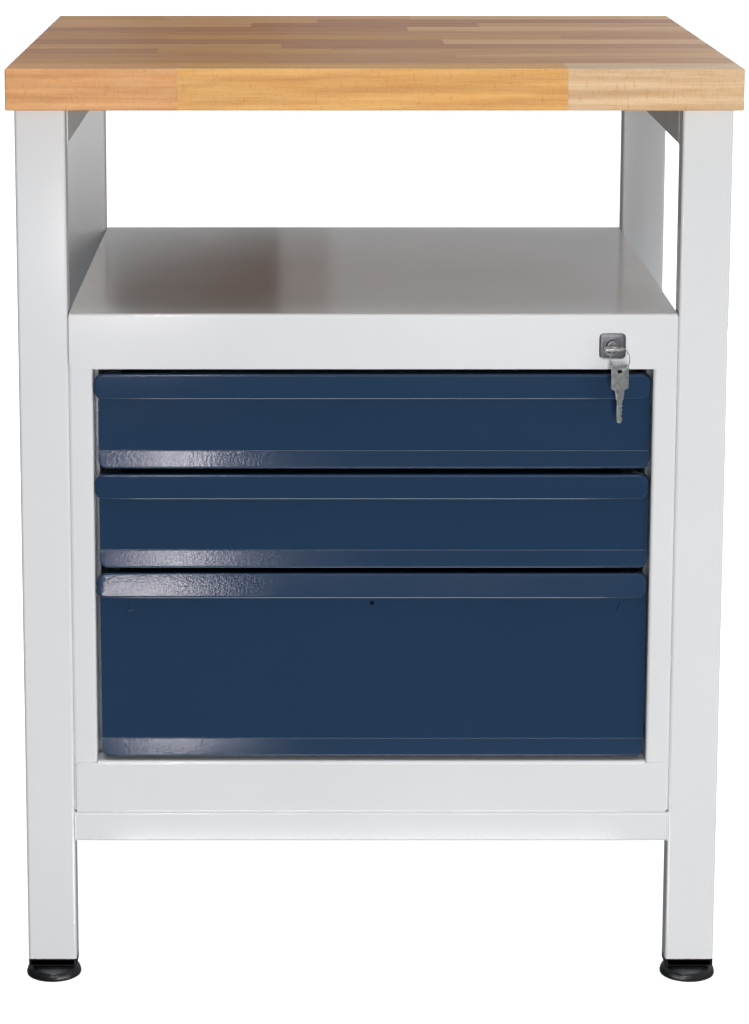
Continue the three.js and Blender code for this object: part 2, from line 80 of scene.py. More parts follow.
HALF_FRONT = 269.5
FRONT_CORNER = 8.0
LIP_HEIGHT = 26.0
LIP_SHIFT = -1.2  # the lip sits this far left of the front's middle, and the face as far right of it
LIP_CURL = 4.5
TALL_LIP_LEAN = 3.6  # how far the tall drawer's lip leans back at its top
RECESS = 10.0  # from the lip back to the face
STRIP_HEIGHT = 16.0
FRONT_BENDS = (1.6, 3.0, 1.2, 1.2, 2.2)
TAB_PLACES = {"left": -239.0, "right": 245.0}
TAB_HALF_WIDTH, TAB_BOTTOM, TAB_TOP = 3.2, 379.6, 389.2
HOLE_HEIGHT = 387.6
HEM_DEPTH, HEM_THICKNESS = 8.0, 1.5

FOOT_RIM, FOOT_DOME, STUD_RADIUS, STUD_TOP = 4.4, 8.0, 4.0, 42.0
KEY_THICKNESS, KEY_EDGE = 2.0, 0.3
KEY_HOLE = 6.0  # from the end of the bow to the middle of its hole
CORNER_POWER = 7  # how square the lock's plate is
BARREL_DEPTH = 24.5

# ---------------------------------------------------------------- studio, in metres

FRONT_WALL, BACK_WALL = 0.42, 0.49  # brightness of the world by direction
FLOOR_GLOW, DARK_BAND, OVERHEAD = 1.3, 0.35, 5.0
COOL_WHITE, WARM_WHITE = (0.92, 0.967, 1.0, 1.0), (1.0, 0.985, 0.965)
BLUISH, ROSY, LILAC = (0.95, 0.98, 1.0), (1.0, 0.91, 0.93), (1.0, 0.94, 1.0)
PAPER_WHITE = (1, 1, 1, 1)
FLOOR_RADIUS, DOME_RADIUS = 70, 60
FLAG_DEPTH = 1.8  # how far behind the bench the flags stand

CAMERA = {"place": (-0.0592, -3.225, 1.1926), "pitch": 10.38, "lens": 108.0, "shift": (0.061, -0.17)}

# ---------------------------------------------------------------- colours


def linear(red, green, blue):
    """The linear value of an sRGB colour given from 0 to 255."""
    def one(value):
        share = value / 255
        return share / 12.92 if share <= 0.04045 else ((share + 0.055) / 1.055) ** 2.4
    return (one(red), one(green), one(blue), 1.0)


def scaled(colour, factor):
    return tuple(min(1.0, part * factor) for part in colour[:3]) + (1.0,)


# ---------------------------------------------------------------- materials


class Nodes:
    """A material's node tree with short calls for the nodes used here."""

    def __init__(self, name):
        self.material = bpy.data.materials.new(name)
        self.material.use_nodes = True
        self.tree = self.material.node_tree
        self.surface = self.tree.nodes["Principled BSDF"]
        self.place = self.add("ShaderNodeTexCoord").outputs["Object"]

    def add(self, kind, **settings):
        node = self.tree.nodes.new(kind)
        for key, value in settings.items():
            setattr(node, key, value)
        return node

    def link(self, output, target):
        self.tree.links.new(output, target)

    def drive(self, **outputs):
        """Links outputs to the surface's own sockets."""
        for key, output in outputs.items():
            self.link(output, self.surface.inputs[key.replace("_", " ")])

    def set(self, **values):
        for key, value in values.items():
            self.surface.inputs[key.replace("_", " ")].default_value = value

    def stretched(self, scale, source=None):
        node = self.add("ShaderNodeMapping")
        node.inputs["Scale"].default_value = scale
        self.link(source or self.place, node.inputs["Vector"])
        return node.outputs["Vector"]

    def noise(self, scale, detail=3.0, roughness=0.5, source=None, distortion=0.0):
        node = self.add("ShaderNodeTexNoise")
        node.inputs["Scale"].default_value = scale
        node.inputs["Detail"].default_value = detail
        node.inputs["Roughness"].default_value = roughness
        node.inputs["Distortion"].default_value = distortion
        self.link(source or self.place, node.inputs["Vector"])
        return node.outputs["Fac"]

    def ranged(self, value, low, high, to_low, to_high):
        node = self.add("ShaderNodeMapRange")
        for key, number in (("From Min", low), ("From Max", high), ("To Min", to_low), ("To Max", to_high)):
            node.inputs[key].default_value = number
        self.link(value, node.inputs["Value"])
        return node.outputs["Result"]

    def mixed(self, factor, first, second, blend="MIX"):
        node = self.add("ShaderNodeMix", data_type="RGBA", blend_type=blend)
        for socket, value in (("Factor", factor), ("A", first), ("B", second)):
            kind = "VALUE" if socket == "Factor" else "RGBA"
            target = next(s for s in node.inputs if s.name == socket and s.type == kind)
            if isinstance(value, (int, float, tuple)):
                target.default_value = value
            else:
                self.link(value, target)
        return next(s for s in node.outputs if s.type == "RGBA")

    def bump(self, height, strength, distance, before=None):
        node = self.add("ShaderNodeBump")
        node.inputs["Strength"].default_value = strength
        node.inputs["Distance"].default_value = distance
        self.link(height, node.inputs["Height"])
        if before is not None:
            self.link(before, node.inputs["Normal"])
        return node.outputs["Normal"]


def powder_coat(name, colour, roughness, peel, specular, dust):
    """Baked powder paint: a fine orange peel, slow changes in gloss and a trace of handling marks."""
    nodes = Nodes(name)
    clouds = nodes.noise(5.0, 4.0, 0.55)
    specks = nodes.noise(1400.0, 1.0, 0.5)
    tint = nodes.mixed(nodes.ranged(clouds, 0.3, 0.7, 0, 1), scaled(colour, 0.975), scaled(colour, 1.02))
    tint = nodes.mixed(nodes.ranged(specks, 0.5, 0.8, 0, dust), tint, scaled(colour, 0.8))
    nodes.drive(Base_Color=tint)
    marks = nodes.noise(9.0, 3.0, 0.5)
    nodes.drive(Roughness=nodes.ranged(marks, 0.3, 0.75, roughness * 0.85, roughness * 1.2))
    wavy = nodes.bump(nodes.noise(55.0, 1.0, 0.4), 0.3 * peel, 0.0006)
    fine = nodes.bump(nodes.noise(420.0, 1.0, 0.5), peel, 0.00025, wavy)
    nodes.drive(Normal=fine)
    nodes.set(Specular_IOR_Level=specular)
    return nodes.material


def metal(name, colour, roughness, grain, mottle, brushed=(1, 1, 1)):
    """Bare or plated metal with brushing, mottling and small dents."""
    nodes = Nodes(name)
    nodes.set(Metallic=1.0)
    lines = nodes.noise(grain, 4.0, 0.6, nodes.stretched(brushed))
    patches = nodes.noise(grain * 0.22, 3.0, 0.6)
    worn = nodes.mixed(nodes.ranged(patches, 0.35, 0.7, 0, mottle), colour, scaled(colour, 0.45))
    tint = nodes.mixed(nodes.ranged(lines, 0.3, 0.75, 0, mottle * 0.6), worn, scaled(colour, 1.3))
    nodes.drive(
        Base_Color=tint,
        Roughness=nodes.ranged(lines, 0.3, 0.7, roughness * 0.75, roughness * 1.35),
        Normal=nodes.bump(lines, 0.3, 0.00015),
    )
    return nodes.material


def plastic(name, colour, roughness, specular=0.5):
    """Moulded plastic with a hazy gloss and a fine grain."""
    nodes = Nodes(name)
    nodes.set(Specular_IOR_Level=specular)
    haze = nodes.noise(60.0, 4.0, 0.6)
    fine = nodes.noise(900.0, 2.0, 0.5)
    nodes.drive(
        Base_Color=nodes.mixed(nodes.ranged(haze, 0.3, 0.7, 0, 1), colour, scaled(colour, 1.8)),
        Roughness=nodes.ranged(haze, 0.3, 0.7, roughness * 0.8, roughness * 1.4),
        Normal=nodes.bump(fine, 0.12, 0.0002),
    )
    return nodes.material


def beech_wood(name):
    """Steamed beech: growth rings round each stave's own centre, fine fibres and short ray flecks."""
    nodes = Nodes(name)
    tone = nodes.add("ShaderNodeAttribute", attribute_name="stave_tone").outputs["Color"]
    shift = nodes.add("ShaderNodeAttribute", attribute_name="stave_shift").outputs["Vector"]
    moved = nodes.add("ShaderNodeVectorMath", operation="ADD")
    nodes.link(nodes.place, moved.inputs[0])
    nodes.link(shift, moved.inputs[1])
    wood = moved.outputs["Vector"]

    rings = nodes.add("ShaderNodeTexWave", wave_type="RINGS", rings_direction="X", wave_profile="SIN")
    wave = {"Scale": 26.0, "Distortion": 5.5, "Detail": 3.0, "Detail Scale": 0.5, "Detail Roughness": 0.55}
    for key, value in wave.items():
        rings.inputs[key].default_value = value
    leaning = nodes.add("ShaderNodeMapping")
    leaning.inputs["Rotation"].default_value = (0, math.radians(3.5), math.radians(-5))
    leaning.inputs["Scale"].default_value = (0.5, 1.0, 1.0)
    nodes.link(wood, leaning.inputs["Vector"])
    nodes.link(leaning.outputs["Vector"], rings.inputs["Vector"])
    fibres = nodes.noise(1.0, 4.0, 0.6, nodes.stretched((22.0, 900.0, 900.0), wood))
    bands = nodes.noise(1.0, 3.0, 0.55, nodes.stretched((3.0, 130.0, 130.0), wood))
    patches = nodes.noise(1.0, 3.0, 0.6, nodes.stretched((16.0, 60.0, 60.0), wood), 0.6)
    flecks = nodes.noise(1.0, 2.0, 0.5, nodes.stretched((300.0, 300.0, 1100.0), wood))
    rays = nodes.noise(1.0, 2.0, 0.5, nodes.stretched((420.0, 900.0, 90.0), wood))

    # Each layer darkens the stave's own tone: pattern, where it starts and is full, how much, and its tint.
    layers = [
        (rings.outputs["Fac"], 0.25, 0.95, 0.32, (0.74, 0.6, 0.46, 1)),
        (bands, 0.35, 0.7, 0.8, (0.76, 0.64, 0.54, 1)),
        (patches, 0.42, 0.68, 0.45, (1.0, 0.8, 0.55, 1)),
        (fibres, 0.45, 0.75, 0.5, (0.8, 0.68, 0.56, 1)),
        (flecks, 0.6, 0.72, 0.45, (0.72, 0.52, 0.38, 1)),
        (rays, 0.58, 0.72, 0.4, (0.8, 0.62, 0.46, 1)),
    ]
    tint = tone
    for pattern, low, high, amount, colour in layers:
        tint = nodes.mixed(nodes.ranged(pattern, low, high, 0, amount), tint, colour, "MULTIPLY")
    pores = nodes.bump(fibres, 0.25, 0.0002)
    nodes.drive(
        Base_Color=tint,
        Roughness=nodes.ranged(fibres, 0.3, 0.7, 0.36, 0.52),
        Normal=nodes.bump(rings.outputs["Fac"], 0.08, 0.0002, pores),
    )
    nodes.set(Coat_Weight=0.06, Coat_Roughness=0.3)
    return nodes.material


GREY = powder_coat("grey_powder_coat", linear(226, 227, 229), 0.14, 0.08, 0.5, 0.03)
BLUE = powder_coat("blue_powder_coat", linear(32, 56, 84), 0.13, 0.26, 0.36, 0.06)
BEECH = beech_wood("beech")
ZINC = metal("zinc_plated_steel", linear(196, 200, 203), 0.34, 900.0, 0.35)
LOCK_METAL = metal("lock_plating", linear(150, 149, 153), 0.36, 1400.0, 0.5)
KEY_METAL = metal("key_plating", linear(228, 228, 225), 0.4, 1200.0, 1.0)
BLACK = plastic("black_plastic", linear(22, 22, 24), 0.26)
# Near-black paint for the disc that stands in for the hole in the tall front: painted shade of the hole's
# inside, not a real part.
PAINTED_HOLE_SHADE = plastic("painted_hole_shade", linear(3, 3, 6), 0.6, 0.1)

# ---------------------------------------------------------------- mesh helpers


def linked(name, data):
    """A new object in the scene."""
    made = bpy.data.objects.new(name, data)
    SCENE.collection.objects.link(made)
    return made


def mesh_from(name, bm, material=None):
    mesh = bpy.data.meshes.new(name)
    bm.to_mesh(mesh)
    bm.free()
    if material:
        mesh.materials.append(material)
    return mesh


def object_from(name, bm, material, body, sharp=38.0):
    """A smooth-shaded object with sharp edges above an angle, riding a body."""
    mesh = mesh_from(name, bm, material)
    mesh.polygons.foreach_set("use_smooth", [True] * len(mesh.polygons))
    mesh.set_sharp_from_angle(angle=math.radians(sharp))
    made = linked(name, mesh)
    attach(made, body)
    return made


def bevel(target, width, segments=3, angle=40.0):
    made = target.modifiers.new("bevel", "BEVEL")
    made.width = width * MM
    made.segments = segments
    made.limit_method = "ANGLE"
    made.angle_limit = math.radians(angle)
    made.harden_normals = False
    made.miter_outer = "MITER_ARC"
    return made


def weighted(target):
    made = target.modifiers.new("normals", "WEIGHTED_NORMAL")
    made.keep_sharp = True
    made.weight = 80
    return made


def placed(axis, a, b, c):
    """A point from its two section coordinates a, b and its place c along the axis."""
    if axis == "x":
        return Vector((c, a, b)) * MM
    if axis == "y":
        return Vector((a, c, b)) * MM
    return Vector((a, b, c)) * MM


def arc(centre, radius, start, end, steps):
    """Points of an arc, angles in degrees."""
    found = []
    for i in range(steps + 1):
        angle = math.radians(start + (end - start) * i / steps)
        found.append((centre[0] + radius * math.cos(angle), centre[1] + radius * math.sin(angle)))
    return found


def skin(bm, rings):
    """Faces between neighbouring rings of as many vertices."""
    count = len(rings[0])
    for first, second in zip(rings, rings[1:]):
        for i in range(count):
            j = (i + 1) % count
            bm.faces.new((first[i], first[j], second[j], second[i]))


def face_outwards(bm):
    bmesh.ops.recalc_face_normals(bm, faces=bm.faces)


def rounded_loop(a0, b0, a1, b1, radius, steps=6):
    """A rectangle with rounded corners, counter-clockwise."""
    return (
        arc((a1 - radius, b0 + radius), radius, -90, 0, steps)
        + arc((a1 - radius, b1 - radius), radius, 0, 90, steps)
        + arc((a0 + radius, b1 - radius), radius, 90, 180, steps)
        + arc((a0 + radius, b0 + radius), radius, 180, 270, steps)
    )


def filleted(points, radii, steps=BEND_STEPS):
    """A polyline with each inner corner replaced by an arc; the count of points depends on steps alone."""
    found = [points[0]]
    for i in range(1, len(points) - 1):
        here = Vector(points[i])
        back = Vector(points[i - 1]) - here
        ahead = Vector(points[i + 1]) - here
        half_angle = back.angle(ahead) / 2
        radius = radii[i - 1]
        reach = radius / math.tan(half_angle)
        back.normalize()
        ahead.normalize()
        middle = (back + ahead).normalized() * (radius / math.sin(half_angle)) + here
        first = here + back * reach - middle
        last = here + ahead * reach - middle
        turn = first.angle_signed(last)
        for step in range(steps + 1):
            angle = -turn * step / steps
            turned = Vector((
                first.x * math.cos(angle) - first.y * math.sin(angle),
                first.x * math.sin(angle) + first.y * math.cos(angle),
            ))
            found.append(tuple(middle + turned))
    found.append(points[-1])
    return found


def tube(name, axis, rectangle, span, body="frame"):
    """A rectangular tube with rounded corners and open ends."""
    a0, b0, a1, b1 = rectangle
    w = TUBE_WALL
    outer = rounded_loop(a0, b0, a1, b1, TUBE_RADIUS)
    inner = rounded_loop(a0 + w, b0 + w, a1 - w, b1 - w, TUBE_RADIUS - w)
    bm = bmesh.new()
    rings = [
        [bm.verts.new(placed(axis, a, b, c)) for a, b in loop]
        for loop, c in ((outer, span[0]), (outer, span[1]), (inner, span[1]), (inner, span[0]))
    ]
    skin(bm, rings + rings[:1])
    face_outwards(bm)
    made = object_from(name, bm, GREY, body)
    bevel(made, 0.4, 2, 60)
    weighted(made)
    return made


def folded_sheet(name, columns, axis, thickness, material, body, skipped=(), flip=False):
    """A sheet through columns of points, thickened behind its outer side.

    A column is a list of (a, b, c), with c along the axis. skipped holds pairs (column, point) whose
    face is left out, for returns that don't run the whole length."""
    bm = bmesh.new()
    grid = [[bm.verts.new(placed(axis, a, b, c)) for a, b, c in column] for column in columns]
    for i in range(len(grid) - 1):
        for j in range(len(grid[0]) - 1):
            if (i, j) in skipped:
                continue
            corners = (grid[i][j], grid[i + 1][j], grid[i + 1][j + 1], grid[i][j + 1])
            bm.faces.new(corners[::-1] if flip else corners)
    bmesh.ops.remove_doubles(bm, verts=bm.verts, dist=1e-6)
    bmesh.ops.dissolve_degenerate(bm, edges=bm.edges, dist=1e-7)
    bmesh.ops.delete(bm, geom=[v for v in bm.verts if not v.link_faces], context="VERTS")
    made = object_from(name, bm, material, body, 80)
    thick = made.modifiers.new("thickness", "SOLIDIFY")
    thick.thickness = thickness * MM
    thick.offset = -1
    bevel(made, 0.3, 2, 62)
    weighted(made)
    return made


def turned(name, profile, centre, material, body, slot, direction=(0, 0, 1), segments=56):
    """A solid of revolution from (radius, height) points, closed on its axis."""
    bm = bmesh.new()
    rings = []
    for radius, height in profile:
        if radius < 1e-6:
            rings.append([bm.verts.new((0, 0, height * MM))])
            continue
        rings.append([
            bm.verts.new((
                radius * MM * math.cos(2 * math.pi * i / segments),
                radius * MM * math.sin(2 * math.pi * i / segments),
                height * MM,
            ))
            for i in range(segments)
        ])
    for first, second in zip(rings, rings[1:]):
        for i in range(segments):
            j = (i + 1) % segments
            corners = (
                first[i % len(first)], first[j % len(first)],
                second[j % len(second)], second[i % len(second)],
            )
            unique = list(dict.fromkeys(corners))
            if len(unique) > 2:
                bm.faces.new(unique)
    face_outwards(bm)
    turn = Vector((0, 0, 1)).rotation_difference(Vector(direction)).to_matrix().to_4x4()
    bmesh.ops.transform(bm, matrix=Matrix.Translation(Vector(centre) * MM) @ turn, verts=bm.verts)
    return object_from(name, bm, material, body, 35)


def prism(name, loop, axis, span, material, body, edge=0.4):
    """A closed outline given depth, with softened edges."""
    bm = bmesh.new()
    low = [bm.verts.new(placed(axis, a, b, span[0])) for a, b in loop]
    high = [bm.verts.new(placed(axis, a, b, span[1])) for a, b in loop]
    skin(bm, [low, high])
    bm.faces.new(low[::-1])
    bm.faces.new(high)
    face_outwards(bm)
    made = object_from(name, bm, material, body)
    bevel(made, edge, 3, 50)
    weighted(made)
    return made


def bead(name, path, across, radius, material, body, ripple=0.16, sides=8):
    """A weld bead: a small round section along a closed path, swelling with each pass of the torch."""
    bm = bmesh.new()
    rings = []
    for i, point in enumerate(path):
        along = (Vector(path[(i + 1) % len(path)]) - Vector(path[i - 1])).normalized()
        side = along.cross(Vector(across)).normalized()
        size = radius * (1 + ripple * math.sin(i * 2.1) + DICE.uniform(-0.12, 0.12))
        rings.append([
            bm.verts.new(
                (Vector(point) + side * size * math.cos(t) + Vector(across) * size * math.sin(t)) * MM
            )
            for t in (2 * math.pi * k / sides for k in range(sides))
        ])
    skin(bm, rings + rings[:1])
    face_outwards(bm)
    return object_from(name, bm, material, body, 80)


def mm_box(node):
    """A CAD node's lowest and highest corner in millimetres."""
    lo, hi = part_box(node)
    return lo / MM, hi / MM


# ---------------------------------------------------------------- worktop


def on_box(face, lo, hi, near=0.1):
    """Whether a face lies on a side of the box."""
    centre = face.calc_center_median() / MM
    return any(
        abs(face.normal[k]) > 0.9 and min(abs(centre[k] - lo[k]), abs(centre[k] - hi[k])) < near
        for k in range(3)
    )


def make_worktop():
    """Staves glued edge to edge and butted end to end, each with its own tone and grain."""
    lo, hi = mm_box("worktop")
    warm, yellow, pale = linear(235, 178, 120), linear(237, 185, 108), linear(235, 206, 167)
    tones = [
        linear(224, 174, 124), linear(198, 141, 96), linear(208, 154, 102), linear(194, 138, 99),
        linear(232, 190, 142), linear(204, 149, 101), linear(218, 168, 112), linear(216, 164, 98),
    ]
    bm = bmesh.new()
    tone_layer = bm.verts.layers.float_color.new("stave_tone")
    shift_layer = bm.verts.layers.float_vector.new("stave_shift")
    weight_layer = bm.edges.layers.float.new("bevel_weight_edge")
    depth = (hi.y - lo.y) / STAVE_ROWS
    for row in range(STAVE_ROWS):
        if row == 0:
            ends = [lo.x, *FRONT_ROW_JOINTS, hi.x]
            colours = [warm, yellow, pale]
        else:
            ends = [lo.x, lo.x + DICE.uniform(SHORTEST_STAVE * 0.5, LONGEST_STAVE * 0.8)]
            while hi.x - ends[-1] > LONGEST_STAVE:
                ends.append(ends[-1] + DICE.uniform(SHORTEST_STAVE, LONGEST_STAVE))
            ends = [x for x in ends if hi.x - x > SHORTEST_STAVE * 0.5] + [hi.x]
            colours = [DICE.choice(tones) for _ in ends]
        y0 = lo.y + row * depth
        for x0, x1, colour in zip(ends, ends[1:], colours):
            box = bmesh.ops.create_cube(bm, size=1.0)["verts"]
            size = Matrix.Diagonal(((x1 - x0) * MM, depth * MM, (hi.z - lo.z) * MM, 1))
            middle = Vector(((x0 + x1) / 2, y0 + depth / 2, (lo.z + hi.z) / 2)) * MM
            bmesh.ops.transform(bm, matrix=Matrix.Translation(middle) @ size, verts=box)
            shift = Vector((DICE.uniform(-3, 3), DICE.uniform(0.02, 0.09) - middle.y,
                            DICE.choice((-1, 1)) * DICE.uniform(0.02, 0.09) - middle.z))
            for vert in box:
                vert[tone_layer] = colour
                vert[shift_layer] = shift
    for edge in bm.edges:
        outside = sum(on_box(face, lo, hi) for face in edge.link_faces)
        edge[weight_layer] = 1.0 if outside == 2 else GLUE_GROOVE
    made = object_from("worktop_staves", bm, BEECH, "frame")
    rounding = bevel(made, TOP_EDGE)
    rounding.limit_method = "WEIGHT"
    weighted(made)
    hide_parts("worktop")


# ---------------------------------------------------------------- frame


def tube_from_node(node, axis):
    """A tube in place of a CAD node, in the node's own box."""
    lo, hi = mm_box(node)
    index = "xyz".index(axis)
    a, b = [k for k in range(3) if k != index]
    made = tube(f"{node}_tube", axis, (lo[a], lo[b], hi[a], hi[b]), (lo[index], hi[index]))
    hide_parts(node)
    return lo, hi


def perimeter(lo, hi, axis, c, grow=0.0, step=1.3):
    """Evenly spaced points round a tube's end."""
    index = "xyz".index(axis)
    a, b = [k for k in range(3) if k != index]
    loop = rounded_loop(lo[a] - grow, lo[b] - grow, hi[a] + grow, hi[b] + grow, TUBE_RADIUS + grow, 4)
    found = []
    for first, second in zip(loop, loop[1:] + loop[:1]):
        length = math.dist(first, second)
        if length < 1e-6:
            continue
        parts = max(1, round(length / step))
        for i in range(parts):
            share = i / parts
            u, v = (first[k] + (second[k] - first[k]) * share for k in (0, 1))
            found.append(tuple(placed(axis, u, v, c) / MM))
    return found


def make_frame():
    """Legs and rails, with a weld bead round each end of a rail."""
    for end in ("front", "rear"):
        for side in ("left", "right"):
            tube_from_node(f"leg_{end}_{side}", "z")
    rails = {
        "top_rail_left": "y", "top_rail_right": "y", "top_rail_rear": "x",
        "base_rail_left": "y", "base_rail_right": "y", "base_rail_front": "x", "base_rail_rear": "x",
    }
    for node, axis in rails.items():
        lo, hi = tube_from_node(node, axis)
        index = "xyz".index(axis)
        across = Vector([1.0 if k == index else 0.0 for k in range(3)])
        for tag, c in (("a", lo[index]), ("b", hi[index])):
            path = perimeter(lo, hi, axis, c, -0.35)
            bead(f"weld_{node}_{tag}", path, across, WELD_RADIUS, GREY, "frame")


def foot_profile(radius):
    """Recessed sole, rounded rim, dome and stud, from the floor up."""
    profile = [(0, 0.6), (radius - 7, 0.6), (radius - 6, 0), (radius - 1.6, 0), (radius - 0.4, 0.7)]
    profile += [(radius, 1.9), (radius, 3.0), (radius - 0.5, FOOT_RIM)]
    for i in range(1, 9):
        turn = math.radians(90 * i / 8)
        profile.append((radius - 0.5 - 14 * (1 - math.cos(turn)), FOOT_RIM + FOOT_DOME * math.sin(turn)))
    profile += [(9.0, 12.6), (STUD_RADIUS, 12.7), (STUD_RADIUS, STUD_TOP - 1), (STUD_RADIUS - 1, STUD_TOP)]
    return profile + [(0, STUD_TOP)]


def make_feet():
    """Collars under the legs and domed feet on threaded studs."""
    for end in ("front", "rear"):
        for side in ("left", "right"):
            corner = f"{end}_{side}"
            lo, _ = mm_box(f"foot_insert_{corner}")
            leg_lo, leg_hi = mm_box(f"leg_{corner}")
            middle = (leg_lo + leg_hi) / 2
            collar = rounded_loop(leg_lo.x, leg_lo.y, leg_hi.x, leg_hi.y, TUBE_RADIUS)
            prism(f"foot_collar_{corner}", collar, "z", (lo.z, leg_lo.z - 0.2), BLACK, "frame",
                  0.8)
            foot_lo, foot_hi = mm_box(f"levelling_foot_{corner}")
            radius = (foot_hi.x - foot_lo.x) / 2
            foot = turned(f"foot_dome_{corner}", foot_profile(radius), (middle.x, middle.y, 0), BLACK,
                          f"foot_{corner}", "black_plastic", segments=72)
            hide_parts(f"levelling_foot_{corner}")


# ---------------------------------------------------------------- cabinet


def corner_drop(distance, radius):
    """How much a rounded corner takes off the height at this distance from the end."""
    if distance >= radius:
        return 0.0
    return radius - math.sqrt(max(0.0, radius ** 2 - (radius - distance) ** 2))


def end_stations(half, radius, steps=8, middle=6, extra=()):
    """Places along X, close together where the corners are round."""
    right = [half - radius * (1 - math.cos(math.radians(90 * i / steps))) for i in range(steps + 1)]
    inner = [right[-1] * i / middle for i in range(middle)]
    found = sorted({*right, *inner, *extra})
    return [-x for x in reversed(found) if x > 0] + found


def make_cabinet_top():
    """Shelf, fascia and rear edge from one sheet; a narrow return stiffens the fascia's lower edge."""
    lo, hi = mm_box("cabinet_top")
    half = hi.x
    columns = []
    for x in end_stations(half, FASCIA_CORNER):
        low = lo.z + corner_drop(half - abs(x), FASCIA_CORNER)
        line = filleted(
            [(lo.y, low), (lo.y, hi.z), (hi.y, hi.z), (hi.y, hi.z - SHELF_REAR_EDGE)], [BEND, BEND],
        )
        columns.append([(y, z, x) for y, z in line])
    made = folded_sheet("shelf_and_fascia", columns, "x", CABINET_SHEET, GREY, "frame",
                        flip=True)
    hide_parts("cabinet_top")
    reach = lo.y + CABINET_SHEET
    flange = filleted([(reach, lo.z + 6), (reach, lo.z), (reach + RETURN_DEPTH, lo.z)], [BEND])
    columns = [[(y, z, x) for y, z in reversed(flange)] for x in (-RETURN_HALF, 0, RETURN_HALF)]
    folded_sheet("fascia_return", columns, "x", SHEET, GREY, "frame", flip=True)


def make_cabinet_bottom():
    """Floor of the cabinet, lower fascia and sill from one sheet."""
    lo, hi = mm_box("cabinet_bottom")
    sill_back = lo.y + SILL_DEPTH
    bend_start = BEND_STEPS + 2  # the sill's bend comes after the first point and the floor's bend
    bend_end = bend_start + BEND_STEPS
    columns = []
    flat = []
    for x in end_stations(LOWER_FASCIA_HALF, FASCIA_CORNER, extra=(RETURN_HALF,)):
        bent = filleted(
            [(hi.y, lo.z), (lo.y, lo.z), (lo.y, hi.z), (sill_back, hi.z), (sill_back, hi.z - SILL_HEM)],
            [BEND, BEND, BEND],
        )
        straight = list(bent)
        top = hi.z - corner_drop(LOWER_FASCIA_HALF - abs(x), FASCIA_CORNER)
        for step in range(BEND_STEPS + 1):
            straight[bend_start + step] = (lo.y, top - BEND * (BEND_STEPS - step) / BEND_STEPS)
        for rest in range(bend_end + 1, len(bent)):
            straight[rest] = (lo.y, top)
        inside = abs(x) <= RETURN_HALF + 1e-6
        edge = abs(abs(x) - RETURN_HALF) < 1e-6
        forms = [bent] if inside and not edge else [straight]
        if edge:
            forms = [straight, bent] if x < 0 else [bent, straight]
        for form in forms:
            flat.append(form is straight)
            columns.append([(y, z, x) for y, z in form])
    skipped = set()
    for i in range(len(columns) - 1):
        changes = flat[i] != flat[i + 1]
        for j in range(len(columns[0]) - 1):
            if changes or (flat[i] and j >= bend_end):
                skipped.add((i, j))
    made = folded_sheet("cabinet_floor_and_fascia", columns, "x", CABINET_SHEET, GREY, "frame",
                        skipped, flip=True)
    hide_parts("cabinet_bottom")


def make_cabinet_sides():
    """Wall, border and jamb of each side from one sheet."""
    for side, sign in (("left", -1), ("right", 1)):
        lo, hi = mm_box(f"cabinet_side_{side}")
        outer = max(abs(lo.x), abs(hi.x))
        inner = min(abs(lo.x), abs(hi.x))
        line = filleted(
            [(outer, hi.y), (outer, lo.y), (inner, lo.y), (inner, lo.y + JAMB_DEPTH)], [BEND, BEND],
        )
        columns = [[(sign * x, y, z) for x, y in line] for z in (lo.z, (lo.z + hi.z) / 2, hi.z)]
        made = folded_sheet(f"cabinet_side_{side}_sheet", columns, "z", SHEET, GREY, "frame",
                            flip=sign > 0)
        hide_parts(f"cabinet_side_{side}")


def make_back_rivets():
    """Four rivets down each side of the back."""
    lo, hi = mm_box("cabinet_back")
    for side, x in (("left", lo.x + 9), ("right", hi.x - 9)):
        for i in range(4):
            z = lo.z + 30 + (hi.z - lo.z - 60) * i / 3
            profile = [(0, 1.5), (1.4, 1.4), (2.6, 0.9), (3.2, 0.2), (3.2, -0.4), (0, -0.4)]
            turned(f"back_rivet_{side}_{i}", profile, (x, hi.y, z), GREY, "frame", "grey_paint",
                   (0, 1, 0), 20)


# ---------------------------------------------------------------- drawers


def front_columns(lo, hi, lip_lean):
    """The folded front as columns from its lower flange to the curled edge of the grip lip."""
    lip, face = lo.y, lo.y + RECESS
    columns = []
    for x in end_stations(HALF_FRONT, FRONT_CORNER, steps=9, middle=10):
        drop = corner_drop(HALF_FRONT - abs(x), FRONT_CORNER)
        bottom, top = lo.z + drop, hi.z - drop
        low = hi.z - LIP_HEIGHT + drop
        fold = lo.z + STRIP_HEIGHT
        inner = lip + SHEET
        trimmed = lip + RECESS * drop / STRIP_HEIGHT
        line = filleted(
            [
                (hi.y, bottom), (trimmed, bottom), (face, fold), (face, top - SHEET),
                (inner + lip_lean, top - SHEET), (inner, low + SHEET), (inner + LIP_CURL, low + SHEET),
            ],
            FRONT_BENDS,
        )
        column = []
        for y, z in line:
            share = min(1.0, max(0.0, (face - y) / (face - inner))) if z > fold + 6 else 0.0
            column.append((y, z, x - LIP_SHIFT + 2 * LIP_SHIFT * share))
        columns.append(column)
    return columns


